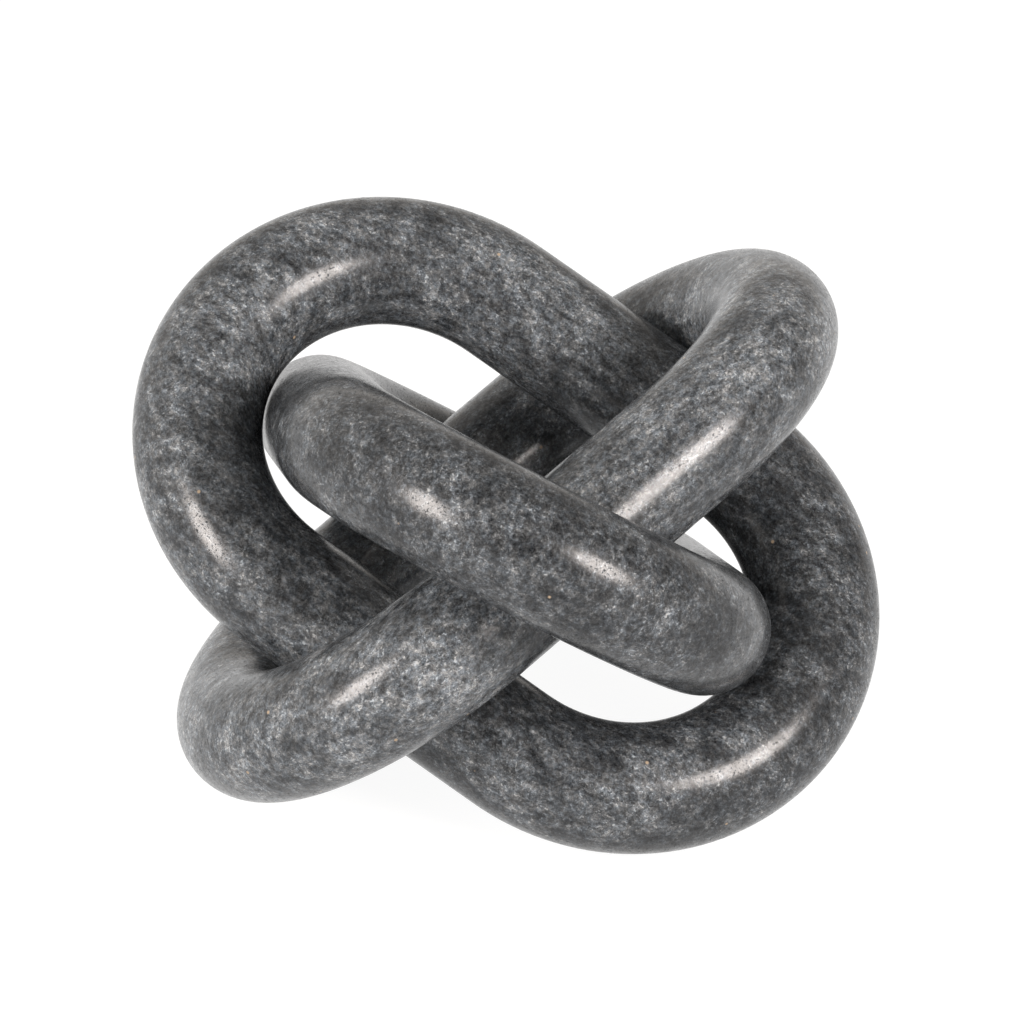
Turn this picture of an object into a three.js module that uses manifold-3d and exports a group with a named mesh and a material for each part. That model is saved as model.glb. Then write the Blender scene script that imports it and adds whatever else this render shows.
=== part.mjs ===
// Marble chain link decor: three equal links of round stock, worked out of one block of stone, so that they
// hang together without a join. Each link passes through the opening of the next one, all three share one
// centre, and the pile has sunk until neighbouring links lie on each other.
// Units are millimetres, +Z is up, and the flats under the three links rest on z = 0.
import * as THREE from "three";
import { mergeVertices } from "three/addons/utils/BufferGeometryUtils.js";
import Module from "manifold-3d";

const wasm = await Module();
wasm.setup();

// Driving dimensions
const STOCK = 32; // diameter of the round stock of a link
const WIDTH = 130; // outer width of a link
const END_PLAY = 4.2; // how much longer the opening of a link is than the outer width of the next one
const CLEARANCE = 0.3; // gap between links where they lie on each other
const FOOT = 0.3; // depth of the flat that is ground under each link
const HEADING = -75; // degrees from the X axis to the side that the first link's opening looks to

// Fineness of the meshes
const STEPS = 84; // steps along the centre line of a link
const SIDES = 24; // flats around the stock

// What follows from them: the centre line of a link is two half circles joined by two straights
const bend = (WIDTH - STOCK) / 2;
const length = WIDTH + END_PLAY + 2 * STOCK;
const straight = length - WIDTH;

// Closed centre line of a link in its own plane, long axis along X
class LinkLine extends THREE.Curve {
  getPoint(t, target = new THREE.Vector3()) {
    const half = straight + Math.PI * bend;
    const turn = t < 0.5 ? 0 : 1;
    const sign = 1 - 2 * turn;
    const run = (2 * t - turn) * half;
    if (run < straight) {
      return target.set(sign * (run - straight / 2), -sign * bend, 0);
    }
    const angle = (run - straight) / bend - Math.PI / 2;
    const x = straight / 2 + bend * Math.cos(angle);
    return target.set(sign * x, sign * bend * Math.sin(angle), 0);
  }
}

const line = new LinkLine();

// How a link stands: swing turns its long axis within its plane, lean tips the plane over from level, and
// place is its number in the pile, a third of a turn each about the upright axis
function posture(swing, lean, place) {
  const heading = THREE.MathUtils.degToRad(HEADING + 90) + (place * 2 * Math.PI) / 3;
  const turned = new THREE.Matrix4().makeRotationZ(swing);
  const leant = new THREE.Matrix4().makeRotationX(lean);
  return new THREE.Matrix4().makeRotationZ(heading).multiply(leant).multiply(turned);
}

// Gap between two neighbouring links when all of them swing and lean alike
function gap(swing, lean) {
  const samples = 200;
  const first = [];
  const second = [];
  for (let i = 0; i < samples; i += 1) {
    const point = line.getPoint(i / samples);
    first.push(point.clone().applyMatrix4(posture(swing, lean, 0)));
    second.push(point.applyMatrix4(posture(swing, lean, 1)));
  }
  let least = Infinity;
  for (const a of first) {
    for (const b of second) {
      least = Math.min(least, a.distanceToSquared(b));
    }
  }
  return Math.sqrt(least) - STOCK;
}

// Flattest lean that keeps the clearance. The pile is widest open where the links stand square to each other.
const squareLean = Math.acos(1 / Math.sqrt(3));

function flattestLean(swing) {
  let low = 0;
  let high = squareLean;
  while (high - low > 1e-5) {
    const middle = (low + high) / 2;
    if (gap(swing, middle) < CLEARANCE) {
      low = middle;
    } else {
      high = middle;
    }
  }
  return high;
}

// The pile sinks until it can sink no further, so the links swing to where their lean is the flattest
function settledSwing() {
  let low = -Math.PI / 2;
  let high = 0;
  while (high - low > 1e-3) {
    const third = (high - low) / 3;
    if (flattestLean(low + third) < flattestLean(high - third)) {
      high -= third;
    } else {
      low += third;
    }
  }
  return (low + high) / 2;
}

const swing = settledSwing();
const lean = flattestLean(swing);
const reach = bend + (straight / 2) * Math.abs(Math.sin(swing));
const height = STOCK / 2 + Math.sin(lean) * reach - FOOT;

// Closed solid of a geometry, and back
function solidOf(geometry) {
  const bare = new THREE.BufferGeometry();
  bare.setAttribute("position", geometry.getAttribute("position"));
  bare.setIndex(geometry.getIndex());
  const merged = mergeVertices(bare, 1e-4);
  const vertProperties = new Float32Array(merged.getAttribute("position").array);
  const triVerts = new Uint32Array(merged.getIndex().array);
  return new wasm.Manifold(new wasm.Mesh({ numProp: 3, vertProperties, triVerts }));
}

function geometryOf(solid) {
  const mesh = solid.getMesh();
  const geometry = new THREE.BufferGeometry();
  geometry.setAttribute("position", new THREE.BufferAttribute(mesh.vertProperties, 3));
  geometry.setIndex(new THREE.BufferAttribute(mesh.triVerts, 1));
  geometry.computeVertexNormals();
  return geometry;
}

// Block that grinds the flats: its top is z = 0 and it covers the whole footprint of the pile
const grinder = new THREE.BoxGeometry(2 * length, 2 * length, STOCK).translate(0, 0, -STOCK / 2);
const ground = solidOf(grinder);

const stone = new THREE.MeshStandardMaterial({ color: 0x5c5e61, roughness: 0.35, metalness: 0 });
stone.name = "dark_marble";

function link(name, place) {
  const tube = new THREE.TubeGeometry(line, STEPS, STOCK / 2, SIDES, true);
  tube.applyMatrix4(posture(swing, lean, place));
  tube.translate(0, 0, height);
  const mesh = new THREE.Mesh(geometryOf(solidOf(tube).subtract(ground)), stone);
  mesh.name = name;
  return mesh;
}

const pile = new THREE.Group();
pile.name = "chain_link_decor";
["front_link", "right_link", "left_link"].forEach((name, place) => pile.add(link(name, place)));

export default pile;
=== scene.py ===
# %% [markdown]
# A pile of three marble links. The imported CAD model comes in first and stays where it is: it fixes how large
# everything is, where each link lies and which body it moves with.

# %% The fixed frame
from math import cos, radians, sin

import bmesh
import bpy
from bmesh.types import BMEdge, BMFace, BMVert
from mathutils import Matrix, Vector


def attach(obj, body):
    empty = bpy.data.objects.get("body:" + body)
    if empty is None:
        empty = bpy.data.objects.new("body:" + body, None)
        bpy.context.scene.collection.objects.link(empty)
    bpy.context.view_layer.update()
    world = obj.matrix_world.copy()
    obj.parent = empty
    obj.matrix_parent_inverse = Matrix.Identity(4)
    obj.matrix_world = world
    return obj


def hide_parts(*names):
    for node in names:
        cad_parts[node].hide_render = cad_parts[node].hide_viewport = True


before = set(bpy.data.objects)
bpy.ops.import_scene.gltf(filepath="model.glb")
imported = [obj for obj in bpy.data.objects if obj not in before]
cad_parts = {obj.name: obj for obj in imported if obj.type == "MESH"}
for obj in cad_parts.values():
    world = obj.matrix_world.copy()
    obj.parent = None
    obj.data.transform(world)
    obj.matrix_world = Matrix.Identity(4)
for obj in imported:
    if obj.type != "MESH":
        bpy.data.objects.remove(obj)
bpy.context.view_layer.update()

# %% [markdown]
# Real links of this kind are cut out of one block and rubbed smooth by hand, so each is a round bar whose
# centre line is two straights and two half circles. The sizes could be measured off the CAD mesh, but its
# flat facets blur a radius, so the driving sizes of the CAD model are written here again, in metres. All
# three links share one middle, and each is the next one turned by a third about the upright axis. The
# heading is the way that the opening of the front link looks, seen from above.

# %% Sizes of the links and how they lie
STOCK = 0.032
BEND = 0.049
STRAIGHT = 0.0682
HEIGHT = 0.0602844
LEAN = radians(37.73346)
SWING = radians(-44.38388)
HEADING = radians(-75)
LINKS = ["front_link", "right_link", "left_link"]
MIDDLE = Vector((0, 0, HEIGHT))
MM_PER_METRE = 1000


def posture(place):
    """How a link lies: swung in its own plane, leant, then turned to its place round the upright axis."""
    heading = Matrix.Rotation(HEADING + radians(90 + 360 * place / len(LINKS)), 4, "Z")
    lean = Matrix.Rotation(LEAN, 4, "X")
    swing = Matrix.Rotation(SWING, 4, "Z")
    return Matrix.Translation(MIDDLE) @ heading @ lean @ swing


print("overall length of a link:", round((STRAIGHT + 2 * BEND + STOCK) * MM_PER_METRE, 1), "mm")

# %% [markdown]
# The CAD links have flat facets that a polished surface would show. A curve object with a round bevel would
# be the quickest smooth bar, but its ends are awkward to close and its rings bunch up. Here one ring of
# points is pushed along the first straight, spun round the bend, pushed back and spun again, which gives
# even rings and closes on itself.

# %% One smooth link
SIDES = 72
BEND_STEPS = 72
STRAIGHT_STEPS = 10
MERGE = 1e-6


def ring_of(geometry):
    return [part for part in geometry if not isinstance(part, BMFace)]


def push(mesh, ring, way):
    """Extrudes a ring along one straight in even steps."""
    for _ in range(STRAIGHT_STEPS):
        edges = [part for part in ring if isinstance(part, BMEdge)]
        ring = ring_of(bmesh.ops.extrude_edge_only(mesh, edges=edges)["geom"])
        verts = [part for part in ring if isinstance(part, BMVert)]
        bmesh.ops.translate(mesh, verts=verts, vec=way / STRAIGHT_STEPS)
    return ring


def spin_round(mesh, ring, middle):
    """Sweeps a ring round one bend, half a turn about the link's own upright axis."""
    half_turn = {"axis": (0, 0, 1), "angle": radians(180), "steps": BEND_STEPS}
    swept = bmesh.ops.spin(mesh, geom=ring, cent=middle, **half_turn)
    return ring_of(swept["geom_last"])


def link_mesh():
    """A closed link in its own plane, its long axis along X."""
    mesh = bmesh.new()
    start = Matrix.Translation((-STRAIGHT / 2, -BEND, 0)) @ Matrix.Rotation(radians(90), 4, "Y")
    bmesh.ops.create_circle(mesh, cap_ends=False, radius=STOCK / 2, segments=SIDES, matrix=start)
    ring = list(mesh.verts) + list(mesh.edges)
    ring = push(mesh, ring, Vector((STRAIGHT, 0, 0)))
    ring = spin_round(mesh, ring, (STRAIGHT / 2, 0, 0))
    ring = push(mesh, ring, Vector((-STRAIGHT, 0, 0)))
    spin_round(mesh, ring, (-STRAIGHT / 2, 0, 0))
    bmesh.ops.remove_doubles(mesh, verts=mesh.verts, dist=MERGE)
    bmesh.ops.recalc_face_normals(mesh, faces=mesh.faces)
    return mesh


print("faces round the bar:", SIDES, "and along a link:", 2 * (STRAIGHT_STEPS + BEND_STEPS))

# %% [markdown]
# A round bar would touch the table in one point only, and the CAD links are flat there, so the smooth ones
# are ground in the same place. A Boolean with a box could cut the flat, but one plane through the mesh at
# the table's level does the same and leaves a clean rim, which one face closes. The rim stays sharp.

# %% The foot of a link


def grind_foot(mesh):
    """Cuts off what lies below the table and closes the cut with one flat face."""
    table = {"plane_co": (0, 0, 0), "plane_no": (0, 0, 1)}
    everything = list(mesh.verts) + list(mesh.edges) + list(mesh.faces)
    cut = bmesh.ops.bisect_plane(mesh, geom=everything, clear_inner=True, **table)
    rim = [part for part in cut["geom_cut"] if isinstance(part, BMEdge)]
    foot = bmesh.ops.contextual_create(mesh, geom=rim)["faces"]
    bmesh.ops.recalc_face_normals(mesh, faces=mesh.faces)
    for edge in rim:
        edge.smooth = False
    return foot


# %% [markdown]
# The speckle has to stay with the stone when a link tilts, and its streaks run along each link's long axis.
# Object coordinates would stay too, but their axes are those of the table. So every point of the mesh stores
# where it lies along its link's own axes, in millimetres. Each link is given another place in the block, so
# that no two show the same marks. Each link also gets a lightness of its own. Part of it is how one link of a
# set comes out darker than the next. Part of it is painted shade and light, which darkens the front and right
# links and lightens the left one in place of the light that falls on them. The front link also darkens by a
# little from one end to the other, which is painted shade.

# %% The three links in their places
BLOCK_PLACES = [Vector((186, -39, 202)), Vector((199, 2, 428)), Vector((-351, -185, 938))]
# Each link's lightness offset: partly its own, partly painted shade on the front and right links and painted
# light on the left one.
LINK_TONES_AND_PAINTED_SHADE = [-0.055, -0.115, 0.035]
# Painted shade: the front link darkens towards the plus x end of its long axis.
PAINTED_SHADE_DRIFTS = [-0.0006, 0.0, 0.0]


def make_link(name, place):
    mesh = link_mesh()
    lay = posture(place)
    bmesh.ops.transform(mesh, matrix=lay, verts=mesh.verts)
    foot = grind_foot(mesh)
    in_block = mesh.verts.layers.float_vector.new("stone")
    tone = mesh.verts.layers.float.new("tone")
    for vert in mesh.verts:
        in_link = lay.inverted() @ vert.co * MM_PER_METRE
        vert[in_block] = in_link + BLOCK_PLACES[place]
        # Each point takes its link's lightness, which holds painted shade and light, plus the painted shade
        # drift along the link.
        vert[tone] = LINK_TONES_AND_PAINTED_SHADE[place] + PAINTED_SHADE_DRIFTS[place] * in_link.x
    for face in mesh.faces:
        face.smooth = face not in foot
    piece = bpy.data.objects.new(name + "_stone", bpy.data.meshes.new(name + "_stone"))
    mesh.to_mesh(piece.data)
    open_edges = sum(not edge.is_manifold for edge in mesh.edges)
    print(piece.name, "faces:", len(mesh.faces), "open edges:", open_edges, "foot faces:", len(foot))
    mesh.free()
    bpy.context.scene.collection.objects.link(piece)
    return piece


stones = {name: make_link(name, place) for place, name in enumerate(LINKS)}

# %% [markdown]
# The marble is mixed from patterns of several sizes. Each sum could be wired by hand from Math nodes, but it
# reads best as a plain formula. A Wire wraps one output socket, so that an expression such as
# 1 - mask * 0.5 adds the Math nodes it needs.

# %% Wires


class Wire:
    """An output socket that arithmetic works on."""

    def __init__(self, finish, socket):
        self.finish = finish
        self.socket = socket

    def maths(self, operation, first, second):
        settings = {"operation": operation}
        return self.finish.node("ShaderNodeMath", settings, {0: first, 1: second})

    def __add__(self, other):
        return self.maths("ADD", self, other)

    def __radd__(self, other):
        return self.maths("ADD", other, self)

    def __sub__(self, other):
        return self.maths("SUBTRACT", self, other)

    def __rsub__(self, other):
        return self.maths("SUBTRACT", other, self)

    def __mul__(self, other):
        return self.maths("MULTIPLY", self, other)

    def __rmul__(self, other):
        return self.maths("MULTIPLY", other, self)


# %% [markdown]
# A Finish holds the nodes of a material or of the room. Its method node makes any kind of node from a type,
# its settings and its sockets, and the short methods after it only give names to the kinds that come up
# again and again. A Mix node has several sockets of one name, so its colours are found by their place.

# %% Finishes
MIX_FIRST = 6
MIX_SECOND = 7
MIX_RESULT = 2


class Finish:
    """The node tree of a material or a world, and the one method that adds any node to it."""

    def __init__(self, owner):
        owner.use_nodes = True
        self.owner = owner
        self.tree = owner.node_tree
        self.tree.nodes.clear()

    def node(self, kind, settings, sockets, output=0):
        made = self.tree.nodes.new(kind)
        for key, value in settings.items():
            if key == "stops":
                self.set_stops(made.color_ramp, value)
            else:
                setattr(made, key, value)
        for key, value in sockets.items():
            if isinstance(value, Wire):
                self.tree.links.new(value.socket, made.inputs[key])
            else:
                made.inputs[key].default_value = value
        return Wire(self, made.outputs[output]) if made.outputs else made

    def set_stops(self, ramp, stops):
        while len(ramp.elements) < len(stops):
            ramp.elements.new(0.5)
        for element, (position, colour) in zip(ramp.elements, stops):
            element.position = position
            element.color = (*colour, 1)

    def noise(self, place, scale, detail, roughness, distortion=0.0, output="Fac"):
        """A cloudy pattern around 0.5, its size given by scale in waves per millimetre."""
        form = {"Scale": scale, "Detail": detail, "Roughness": roughness, "Distortion": distortion}
        return self.node("ShaderNodeTexNoise", {}, {"Vector": place, **form}, output)

    def cells(self, feature, place, scale, output):
        """A pattern of cells, their size given by scale in cells per millimetre."""
        sockets = {"Vector": place, "Scale": scale}
        return self.node("ShaderNodeTexVoronoi", {"feature": feature}, sockets, output)

    def step(self, value, start, end):
        """A smooth change from 0, where the value is at the start, to 1, where it is at the end."""
        sockets = {"Value": value, "From Min": start, "From Max": end}
        return self.node("ShaderNodeMapRange", {"interpolation_type": "SMOOTHSTEP"}, sockets)

    def vector(self, operation, first, second):
        output = "Value" if operation == "DOT_PRODUCT" else "Vector"
        return self.node("ShaderNodeVectorMath", {"operation": operation}, {0: first, 1: second}, output)

    def mix(self, share, first, second):
        """A colour that goes from the first to the second as the share rises."""
        sockets = {"Factor": share, MIX_FIRST: first, MIX_SECOND: second}
        return self.node("ShaderNodeMix", {"data_type": "RGBA"}, sockets, MIX_RESULT)

    def in_sight(self):
        """One for a ray that the camera, a mirror or glass sends out, and nothing for light on the stone."""
        kinds = ("Is Camera Ray", "Is Glossy Ray", "Is Transmission Ray")
        seen, mirrored, through = (self.node("ShaderNodeLightPath", {}, {}, kind) for kind in kinds)
        return seen + mirrored + through


# %% [markdown]
# The stone is a dark grey marble. An image would be flat and would show its seams on a closed bar, so all
# of the look is solid noise, cut through by the surface as in a real block. The coarse patterns come first:
# soft clouds, streaky seams and dark patches some millimetres wide. Their noise is stretched along the link,
# by three times for the seams and by a third for the others. Where clouds and seams are both light, the
# bright marks crowd together.

# %% Clouds, seams and patches
LITTLE_STRETCH = (0.75, 1.0, 1.0)
SEAM_STRETCH = (0.35, 1.0, 1.0)

marble = Finish(bpy.data.materials.new("speckled_marble"))
block = marble.node("ShaderNodeAttribute", {"attribute_name": "stone"}, {}, output="Vector")
# This attribute carries each link's own lightness together with painted shade and light.
tone = marble.node("ShaderNodeAttribute", {"attribute_name": "tone"}, {}, output="Fac")
grained = marble.vector("MULTIPLY", block, LITTLE_STRETCH)
streaked = marble.vector("MULTIPLY", block, SEAM_STRETCH)

clouds = marble.noise(grained, scale=0.055, detail=2, roughness=0.8, distortion=0.3)
seams = marble.noise(streaked, scale=0.2, detail=2, roughness=0.8, distortion=0.3)
patches = marble.noise(grained, scale=0.3, detail=2, roughness=1.0, distortion=0.2)
crowd = marble.step(clouds * 0.5 + seams * 0.5, start=0.38, end=0.62)
print("nodes for the coarse patterns:", len(marble.tree.nodes))

# %% [markdown]
# Close up the marble is made of interlocked grains a little under a millimetre wide and looks felted: fine
# crooked threads run between the grains. Straight cell borders would look like a net, so the place that
# the cells read is crumpled by a noise first. Bright flecks and dull pits are the tops and the hollows of
# finer noises. Tan specks are rare: there is one point for them in each cell of about twelve millimetres,
# and the surface seldom cuts through it.

# %% Grains, threads, flecks and pits
CRUMPLE = (2.5, 2.5, 2.5)

folds = marble.noise(block, scale=0.9, detail=1, roughness=0.6, output="Color")
crumpled = marble.vector("ADD", block, marble.vector("MULTIPLY", folds, CRUMPLE))
grains = marble.cells("F1", crumpled, scale=1.3, output="Color")
grain = marble.node("ShaderNodeSeparateColor", {}, {"Color": grains}, output="Red")
borders = marble.cells("DISTANCE_TO_EDGE", crumpled, scale=0.8, output="Distance")
threads = marble.step(borders, start=0.14, end=0.02)

felt = marble.noise(block, scale=1.3, detail=1, roughness=1.0, distortion=0.8)
sparks = marble.noise(grained, scale=1.3, detail=1, roughness=0.7, distortion=0.4)
flecks = marble.step(sparks, start=0.59, end=0.68)
pits = marble.step(marble.noise(block, scale=2.0, detail=1, roughness=0.6), start=0.40, end=0.35)
specks = marble.step(marble.cells("F1", block, scale=0.085, output="Distance"), start=0.05, end=0.02)
print("nodes with the fine patterns:", len(marble.tree.nodes))

# %% [markdown]
# The patterns could each be mixed over the last as a layer of paint, but in stone they run through each
# other, so they add up to one lightness: every pattern lifts or lowers it about the link's own level, which
# also holds painted shade and light. Threads and flecks only lift it, and most where the bright marks crowd
# together. Pits only lower it.

# %% How light the stone is
NOISE_MIDDLE = 0.5
GROUND = 0.42
CLOUD_DEPTH = 0.6
SEAM_DEPTH = 0.45
PATCH_DEPTH = 1.0
FELT_DEPTH = 0.56
GRAIN_DEPTH = 0.18
THREAD_LIFT = 0.05
CROWDED_THREAD_LIFT = 0.1
FLECK_LIFT = 0.07
CROWDED_FLECK_LIFT = 0.22
PIT_DEPTH = 0.12


def sway(pattern, depth):
    """A pattern as a rise and fall about zero."""
    return (pattern - NOISE_MIDDLE) * depth


lightness = (
    tone
    + GROUND
    + sway(clouds, CLOUD_DEPTH)
    + sway(seams, SEAM_DEPTH)
    + sway(patches, PATCH_DEPTH)
    + sway(felt, FELT_DEPTH)
    + sway(grain, GRAIN_DEPTH)
    + threads * (crowd * CROWDED_THREAD_LIFT + THREAD_LIFT)
    + flecks * (crowd * CROWDED_FLECK_LIFT + FLECK_LIFT)
    - pits * PIT_DEPTH
)
print("nodes with the lightness:", len(marble.tree.nodes))

# %% [markdown]
# A ramp turns the lightness into greys that are a little blue. Alone it would look like plastic: some spots
# of the real stone are a touch warmer and others cooler, so a noise with spots about two millimetres wide
# tints the greys both ways, and the tan specks go over them.

# %% Colour of the stone
TONES = [
    (0.0, (0.007, 0.008, 0.0093)),
    (0.3, (0.036, 0.0395, 0.0435)),
    (0.5, (0.084, 0.092, 0.1005)),
    (0.7, (0.163, 0.177, 0.191)),
    (1.0, (0.39, 0.415, 0.435)),
]
COOLER = (0.955, 1.0, 1.045, 1)
WARMER = (1.045, 1.0, 0.955, 1)
TAN = (0.36, 0.28, 0.20, 1)

greys = marble.node("ShaderNodeValToRGB", {"stops": TONES}, {"Fac": lightness}, output="Color")
warmth = marble.step(marble.noise(block, scale=0.5, detail=2, roughness=0.9), start=0.35, end=0.65)
tinted = marble.vector("MULTIPLY", greys, marble.mix(warmth, COOLER, WARMER))
colour = marble.mix(specks, tinted, TAN)
print("nodes with the colour:", len(marble.tree.nodes))

# %% [markdown]
# The links are rubbed to a satin polish. One even roughness would look like varnish. Light patches take the
# polish a little better than the soft dark ones, no two grains take it quite alike, and fine dull pits show
# as dark dots inside each highlight. So roughness and a very shallow bump follow the same patterns as the
# colour. A rubbed stone reflects less than smooth glass, hence the lower specular level.

# %% Polish
SATIN = 0.19
PIT_DULLNESS = 0.4
PATCH_DULLNESS = 0.15
GRAIN_DULLNESS = 0.05
BUMP_STRENGTH = 0.25
BUMP_HEIGHT = 0.00003
PIT_IN_FELT = 0.5
POLISH = {"IOR": 1.5, "Specular IOR Level": 0.36}

dark_patches = NOISE_MIDDLE - patches
roughness = SATIN + pits * PIT_DULLNESS + dark_patches * PATCH_DULLNESS + grain * GRAIN_DULLNESS
relief = {"Strength": BUMP_STRENGTH, "Distance": BUMP_HEIGHT, "Height": felt - pits * PIT_IN_FELT}
bump = marble.node("ShaderNodeBump", {}, relief, output="Normal")
look = {"Base Color": colour, "Roughness": roughness, "Normal": bump, **POLISH}
surface = marble.node("ShaderNodeBsdfPrincipled", {}, look)
marble.node("ShaderNodeOutputMaterial", {}, {"Surface": surface})
print("nodes in the marble:", len(marble.tree.nodes))

# %% [markdown]
# The marble could be given to the CAD nodes themselves, but their facets would show in it. So each smooth
# link stands for its CAD node, moves with the body of that node and is given the marble.

# %% Tying the links to the frame
for name, stone in stones.items():
    stone.data.materials.append(marble.owner)
    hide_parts(name)
    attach(stone, name)
print("links tied:", len(stones))

# %% [markdown]
# The links stand on a plain floor. To the camera and in reflections it is a white sheet that keeps a trace
# of the shadow. Were it as white in its light on the stone, the undersides and the insides of the links
# would lose their deep shade, so to every other ray it is a plain grey board. It lies a hair below the
# links, so that it doesn't share a plane with their feet.

# %% Floor
FLOOR_HALF = 6.0
FLOOR_DROP = 0.0002
BOARD_GREY = (0.43, 0.435, 0.44, 1)
SHADE_GREY = (0.15, 0.15, 0.15, 1)
GLOW_WHITE = (1, 1, 1, 1)
GLOW_STRENGTH = 0.935

plane = bmesh.new()
bmesh.ops.create_grid(plane, x_segments=1, y_segments=1, size=FLOOR_HALF)
bmesh.ops.translate(plane, verts=plane.verts, vec=(0, 0, -FLOOR_DROP))
floor = bpy.data.objects.new("floor", bpy.data.meshes.new("floor"))
plane.to_mesh(floor.data)
plane.free()
bpy.context.scene.collection.objects.link(floor)

board = Finish(bpy.data.materials.new("studio_floor"))
plain = board.node("ShaderNodeBsdfDiffuse", {}, {"Color": BOARD_GREY})
shade = board.node("ShaderNodeBsdfDiffuse", {}, {"Color": SHADE_GREY})
glow = board.node("ShaderNodeEmission", {}, {"Color": GLOW_WHITE, "Strength": GLOW_STRENGTH})
sheet = board.node("ShaderNodeAddShader", {}, {0: shade, 1: glow})
either = board.node("ShaderNodeMixShader", {}, {0: board.in_sight(), 1: plain, 2: sheet})
board.node("ShaderNodeOutputMaterial", {}, {"Surface": either})
floor.data.materials.append(board.owner)
print("floor:", 2 * FLOOR_HALF, "m wide")

# %% [markdown]
# The room is a pale studio, brightest to the left and dark behind the camera, so that a bar has a dull face
# and lighter edges. It could be built of lit walls, but one world shader is softer and quicker to render.
# Its brightness is given for the six ways along the axes and runs smoothly between them: the squares of a
# direction's three parts add up to one, so they serve as shares. Toward the horizon the room looks white, so
# that a view from low down shows no edge of the floor, but its light on the stone stays as it was.

# %% Light of the room
TO_RIGHT_BACK_UP = (0.30, 0.72, 0.42)
TO_LEFT_FRONT_DOWN = (1.25, 0.0, 0.80)
ROOM_WHITE = (1.0, 0.95, 0.895, 1)
HORIZON_TOP = 0.16
HORIZON_FOOT = 0.11
HORIZON_LEVEL = 1.12

world = bpy.data.worlds.new("studio")
bpy.context.scene.world = world
sky = Finish(world)
ahead = sky.node("ShaderNodeTexCoord", {}, {}, output="Generated")
behind = sky.vector("MULTIPLY", ahead, (-1, -1, -1))


def half_room(direction, strengths):
    """The light of three ways along the axes, each by its share in the direction."""
    forward = sky.vector("MAXIMUM", direction, (0, 0, 0))
    shares = sky.vector("MULTIPLY", forward, forward)
    return sky.vector("DOT_PRODUCT", shares, strengths)


level = half_room(ahead, TO_RIGHT_BACK_UP) + half_room(behind, TO_LEFT_FRONT_DOWN)
height = sky.node("ShaderNodeSeparateXYZ", {}, {"Vector": ahead}, output="Z")
horizon = sky.step(height, start=HORIZON_TOP, end=HORIZON_FOOT) * sky.in_sight()
seen_level = level + (HORIZON_LEVEL - level) * horizon
room = sky.node("ShaderNodeBackground", {}, {"Color": ROOM_WHITE, "Strength": seen_level})
sky.node("ShaderNodeOutputWorld", {}, {"Surface": room})
print("nodes in the room:", len(sky.tree.nodes))

# %% [markdown]
# A polished bar shows each lamp as a long streak. Small lamps would give hard white lines, so two oval soft
# boxes stand in front of the pile to the left and right and give the broad warm highlights on the bars. Each
# is placed by the way it is seen from the middle of the pile, and turned about that line so that its streak
# has the right length.

# %% Soft boxes
BOX_DISTANCE = 1.3
BOX_COLOUR = (1.0, 0.925, 0.875)


def soft_box(name, azimuth, elevation, size, turn, power):
    """A soft box seen from the pile at an azimuth from the camera's side and an elevation, in degrees."""
    az, el = radians(azimuth), radians(elevation)
    way = Vector((sin(az) * cos(el), -cos(az) * cos(el), sin(el)))
    lamp = bpy.data.lights.new(name, "AREA")
    lamp.shape = "ELLIPSE"
    lamp.size, lamp.size_y = size
    lamp.energy = power
    lamp.color = BOX_COLOUR
    box = bpy.data.objects.new(name, lamp)
    stand = Matrix.Translation(MIDDLE + way * BOX_DISTANCE)
    facing = way.to_track_quat("Z", "Y").to_matrix().to_4x4()
    box.matrix_world = stand @ facing @ Matrix.Rotation(radians(turn), 4, "Z")
    bpy.context.scene.collection.objects.link(box)
    print(name, "at", [round(part, 2) for part in box.matrix_world.translation], "m,", power, "W")


soft_box("left_soft_box", azimuth=-48, elevation=25, size=(0.42, 0.62), turn=0, power=15.9)
soft_box("right_soft_box", azimuth=47, elevation=28.5, size=(0.56, 0.49), turn=-38, power=17.6)

# %% [markdown]
# The camera stands where the photograph's did: a long lens from well above the table's edge, rolled by a
# little. It could be aimed by eye with a constraint, but its place here comes from a fit of the links'
# outlines, so the picture can be laid over the photograph.

# %% Camera
CAMERA_PLACE = (0.00108, -1.08626, 0.71619)
CAMERA_TILT = radians(58.968)
CAMERA_ROLL = radians(1.706)
LENS = 180.78
SENSOR_WIDTH = 36

camera = bpy.data.objects.new("camera", bpy.data.cameras.new("camera"))
aim = Matrix.Rotation(CAMERA_TILT, 4, "X") @ Matrix.Rotation(CAMERA_ROLL, 4, "Z")
camera.matrix_world = Matrix.Translation(CAMERA_PLACE) @ aim
camera.data.lens = LENS
camera.data.sensor_width = SENSOR_WIDTH
bpy.context.scene.collection.objects.link(camera)
bpy.context.scene.camera = camera
bpy.context.scene.view_settings.view_transform = "Standard"
print("camera at", CAMERA_PLACE, "m, lens", LENS, "mm")
